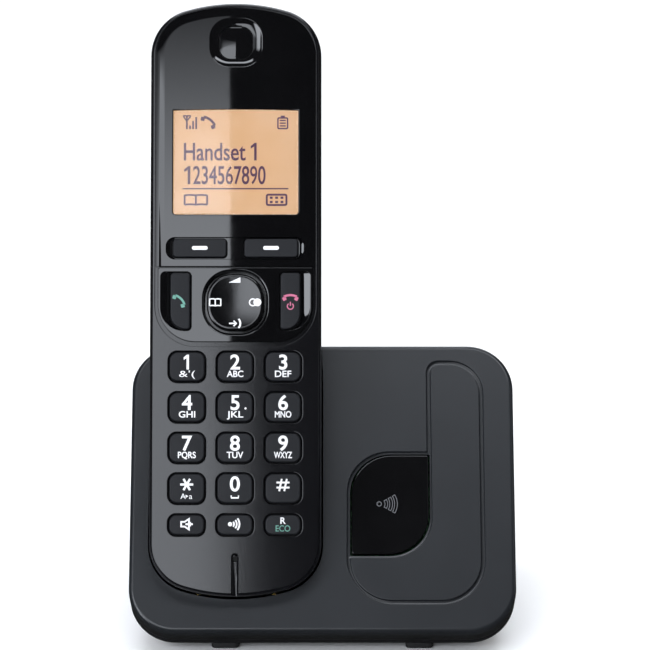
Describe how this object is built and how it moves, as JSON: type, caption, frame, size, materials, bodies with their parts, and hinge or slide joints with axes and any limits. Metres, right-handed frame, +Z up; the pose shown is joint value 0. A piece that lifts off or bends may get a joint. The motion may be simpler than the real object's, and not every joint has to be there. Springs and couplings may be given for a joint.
{
  "type": "cordless phone with base",
  "caption": "Cordless handset with keypad and display standing in a sloping charging base with a handset locator key.",
  "frame": {"origin": "middle of the footprint on the desk, at the underside of the feet", "axes": "+Z up, the front faces -Y, +X to the viewer's right"},
  "size_m": [0.108, 0.0884, 0.1735],
  "materials": {
    "base_cover": "fine spark texture, soft sheen",
    "bottom_cover": "matte texture",
    "foot_rubber": "matte",
    "screw_steel": "zinc plated",
    "circuit_board": "solder mask",
    "tinned_steel": "tinned",
    "contact_metal": "gold flash",
    "capacitor_sleeve": "heat-shrunk sleeve",
    "jack_plastic": "moulded",
    "switch_body": "moulded",
    "locator_gloss": "polished",
    "front_case": "fine spark texture, soft sheen",
    "rear_case": "fine spark texture",
    "black_gloss": "piano black",
    "display_window": "clear acrylic",
    "amber_display": "back-lit, printed",
    "light_guide": "white moulding",
    "keypad_rubber": "silicone",
    "dome_steel": "bright",
    "speaker_body": "black",
    "cell_jacket": "plain sleeve",
    "rocker_gloss": "polished",
    "key_plastic": "satin"
  },
  "bodies": {
    "base": {"base_top_cover": "base_cover", "base_bottom_cover": "bottom_cover", "base_feet": "foot_rubber", "base_screws": "screw_steel", "base_pcb": "circuit_board", "base_pcb_screws": "screw_steel", "base_rf_shield": "tinned_steel", "base_antennas": "contact_metal", "base_capacitors": "capacitor_sleeve", "charge_contacts": "contact_metal", "dc_jack": "jack_plastic", "line_jack": "jack_plastic", "locator_switch": "switch_body"},
    "locator_key": {"locator_key": "locator_gloss"},
    "handset": {"handset_front_case": "front_case", "handset_rear_case": "rear_case", "display_bezel": "black_gloss", "display_lens": "display_window", "lcd_module": "amber_display", "lcd_holder": "light_guide", "nav_panel": "black_gloss", "receiver_cap": "black_gloss", "keypad_membrane": "keypad_rubber", "key_domes": "dome_steel", "handset_pcb": "circuit_board", "handset_rf_shield": "tinned_steel", "receiver_speaker": "speaker_body", "ringer_speaker": "speaker_body", "microphone": "tinned_steel", "battery_left": "cell_jacket", "battery_right": "cell_jacket", "battery_springs": "dome_steel", "battery_plates": "dome_steel", "charge_pads": "contact_metal", "handset_screws": "screw_steel"},
    "nav_pivot": {"nav_pivot": "keypad_rubber"},
    "nav_key": {"nav_key": "rocker_gloss"},
    "battery_cover": {"battery_cover": "rear_case"},
    "key_1": {"key_1": "key_plastic"},
    "key_2": {"key_2": "key_plastic"},
    "key_3": {"key_3": "key_plastic"},
    "key_4": {"key_4": "key_plastic"},
    "key_5": {"key_5": "key_plastic"},
    "key_6": {"key_6": "key_plastic"},
    "key_7": {"key_7": "key_plastic"},
    "key_8": {"key_8": "key_plastic"},
    "key_9": {"key_9": "key_plastic"},
    "key_star": {"key_star": "key_plastic"},
    "key_0": {"key_0": "key_plastic"},
    "key_hash": {"key_hash": "key_plastic"},
    "key_speaker": {"key_speaker": "key_plastic"},
    "key_intercom": {"key_intercom": "key_plastic"},
    "key_recall": {"key_recall": "key_plastic"},
    "talk_key": {"talk_key": "key_plastic"},
    "end_key": {"end_key": "key_plastic"},
    "soft_key_left": {"soft_key_left": "key_plastic"},
    "soft_key_right": {"soft_key_right": "key_plastic"}
  },
  "joints": [
    {"name": "handset_lift", "type": "slide", "parent": "base", "child": "handset", "axis": [0, 0.3584, 0.9336], "range_m": [0, 0.12]},
    {"name": "locator_key_press", "type": "slide", "parent": "base", "child": "locator_key", "axis": [0, 0.8192, -0.5736], "range_m": [0, 0.0006], "stiffness_N_per_m": 2500},
    {"name": "battery_cover_slide", "type": "slide", "parent": "handset", "child": "battery_cover", "axis": [0, -0.3584, -0.9336], "range_m": [0, 0.0035]},
    {"name": "nav_up_down", "type": "hinge", "parent": "handset", "child": "nav_pivot", "pos_m": [-0.0243, -0.00988, 0.09351], "axis": [1, 0, 0], "range_deg": [-3, 3], "stiffness_Nm_per_rad": 0.25},
    {"name": "nav_left_right", "type": "hinge", "parent": "nav_pivot", "child": "nav_key", "pos_m": [-0.0243, -0.00988, 0.09351], "axis": [0, 0.3584, 0.9336], "range_deg": [-3, 3], "stiffness_Nm_per_rad": 0.25},
    {"name": "talk_key_press", "type": "slide", "parent": "handset", "child": "talk_key", "axis": [0, 0.9336, -0.3584], "range_m": [0, 0.0007], "stiffness_N_per_m": 1500},
    {"name": "end_key_press", "type": "slide", "parent": "handset", "child": "end_key", "axis": [0, 0.9336, -0.3584], "range_m": [0, 0.0007], "stiffness_N_per_m": 1500},
    {"name": "soft_key_left_press", "type": "slide", "parent": "handset", "child": "soft_key_left", "axis": [0, 0.9336, -0.3584], "range_m": [0, 0.0007], "stiffness_N_per_m": 1500},
    {"name": "soft_key_right_press", "type": "slide", "parent": "handset", "child": "soft_key_right", "axis": [0, 0.9336, -0.3584], "range_m": [0, 0.0007], "stiffness_N_per_m": 1500},
    {"name": "key_1_press", "type": "slide", "parent": "handset", "child": "key_1", "axis": [0, 0.9336, -0.3584], "range_m": [0, 0.0007], "stiffness_N_per_m": 1500},
    {"name": "key_2_press", "type": "slide", "parent": "handset", "child": "key_2", "axis": [0, 0.9336, -0.3584], "range_m": [0, 0.0007], "stiffness_N_per_m": 1500},
    {"name": "key_3_press", "type": "slide", "parent": "handset", "child": "key_3", "axis": [0, 0.9336, -0.3584], "range_m": [0, 0.0007], "stiffness_N_per_m": 1500},
    {"name": "key_4_press", "type": "slide", "parent": "handset", "child": "key_4", "axis": [0, 0.9336, -0.3584], "range_m": [0, 0.0007], "stiffness_N_per_m": 1500},
    {"name": "key_5_press", "type": "slide", "parent": "handset", "child": "key_5", "axis": [0, 0.9336, -0.3584], "range_m": [0, 0.0007], "stiffness_N_per_m": 1500},
    {"name": "key_6_press", "type": "slide", "parent": "handset", "child": "key_6", "axis": [0, 0.9336, -0.3584], "range_m": [0, 0.0007], "stiffness_N_per_m": 1500},
    {"name": "key_7_press", "type": "slide", "parent": "handset", "child": "key_7", "axis": [0, 0.9336, -0.3584], "range_m": [0, 0.0007], "stiffness_N_per_m": 1500},
    {"name": "key_8_press", "type": "slide", "parent": "handset", "child": "key_8", "axis": [0, 0.9336, -0.3584], "range_m": [0, 0.0007], "stiffness_N_per_m": 1500},
    {"name": "key_9_press", "type": "slide", "parent": "handset", "child": "key_9", "axis": [0, 0.9336, -0.3584], "range_m": [0, 0.0007], "stiffness_N_per_m": 1500},
    {"name": "key_star_press", "type": "slide", "parent": "handset", "child": "key_star", "axis": [0, 0.9336, -0.3584], "range_m": [0, 0.0007], "stiffness_N_per_m": 1500},
    {"name": "key_0_press", "type": "slide", "parent": "handset", "child": "key_0", "axis": [0, 0.9336, -0.3584], "range_m": [0, 0.0007], "stiffness_N_per_m": 1500},
    {"name": "key_hash_press", "type": "slide", "parent": "handset", "child": "key_hash", "axis": [0, 0.9336, -0.3584], "range_m": [0, 0.0007], "stiffness_N_per_m": 1500},
    {"name": "key_speaker_press", "type": "slide", "parent": "handset", "child": "key_speaker", "axis": [0, 0.9336, -0.3584], "range_m": [0, 0.0007], "stiffness_N_per_m": 1500},
    {"name": "key_intercom_press", "type": "slide", "parent": "handset", "child": "key_intercom", "axis": [0, 0.9336, -0.3584], "range_m": [0, 0.0007], "stiffness_N_per_m": 1500},
    {"name": "key_recall_press", "type": "slide", "parent": "handset", "child": "key_recall", "axis": [0, 0.9336, -0.3584], "range_m": [0, 0.0007], "stiffness_N_per_m": 1500}
  ]
}
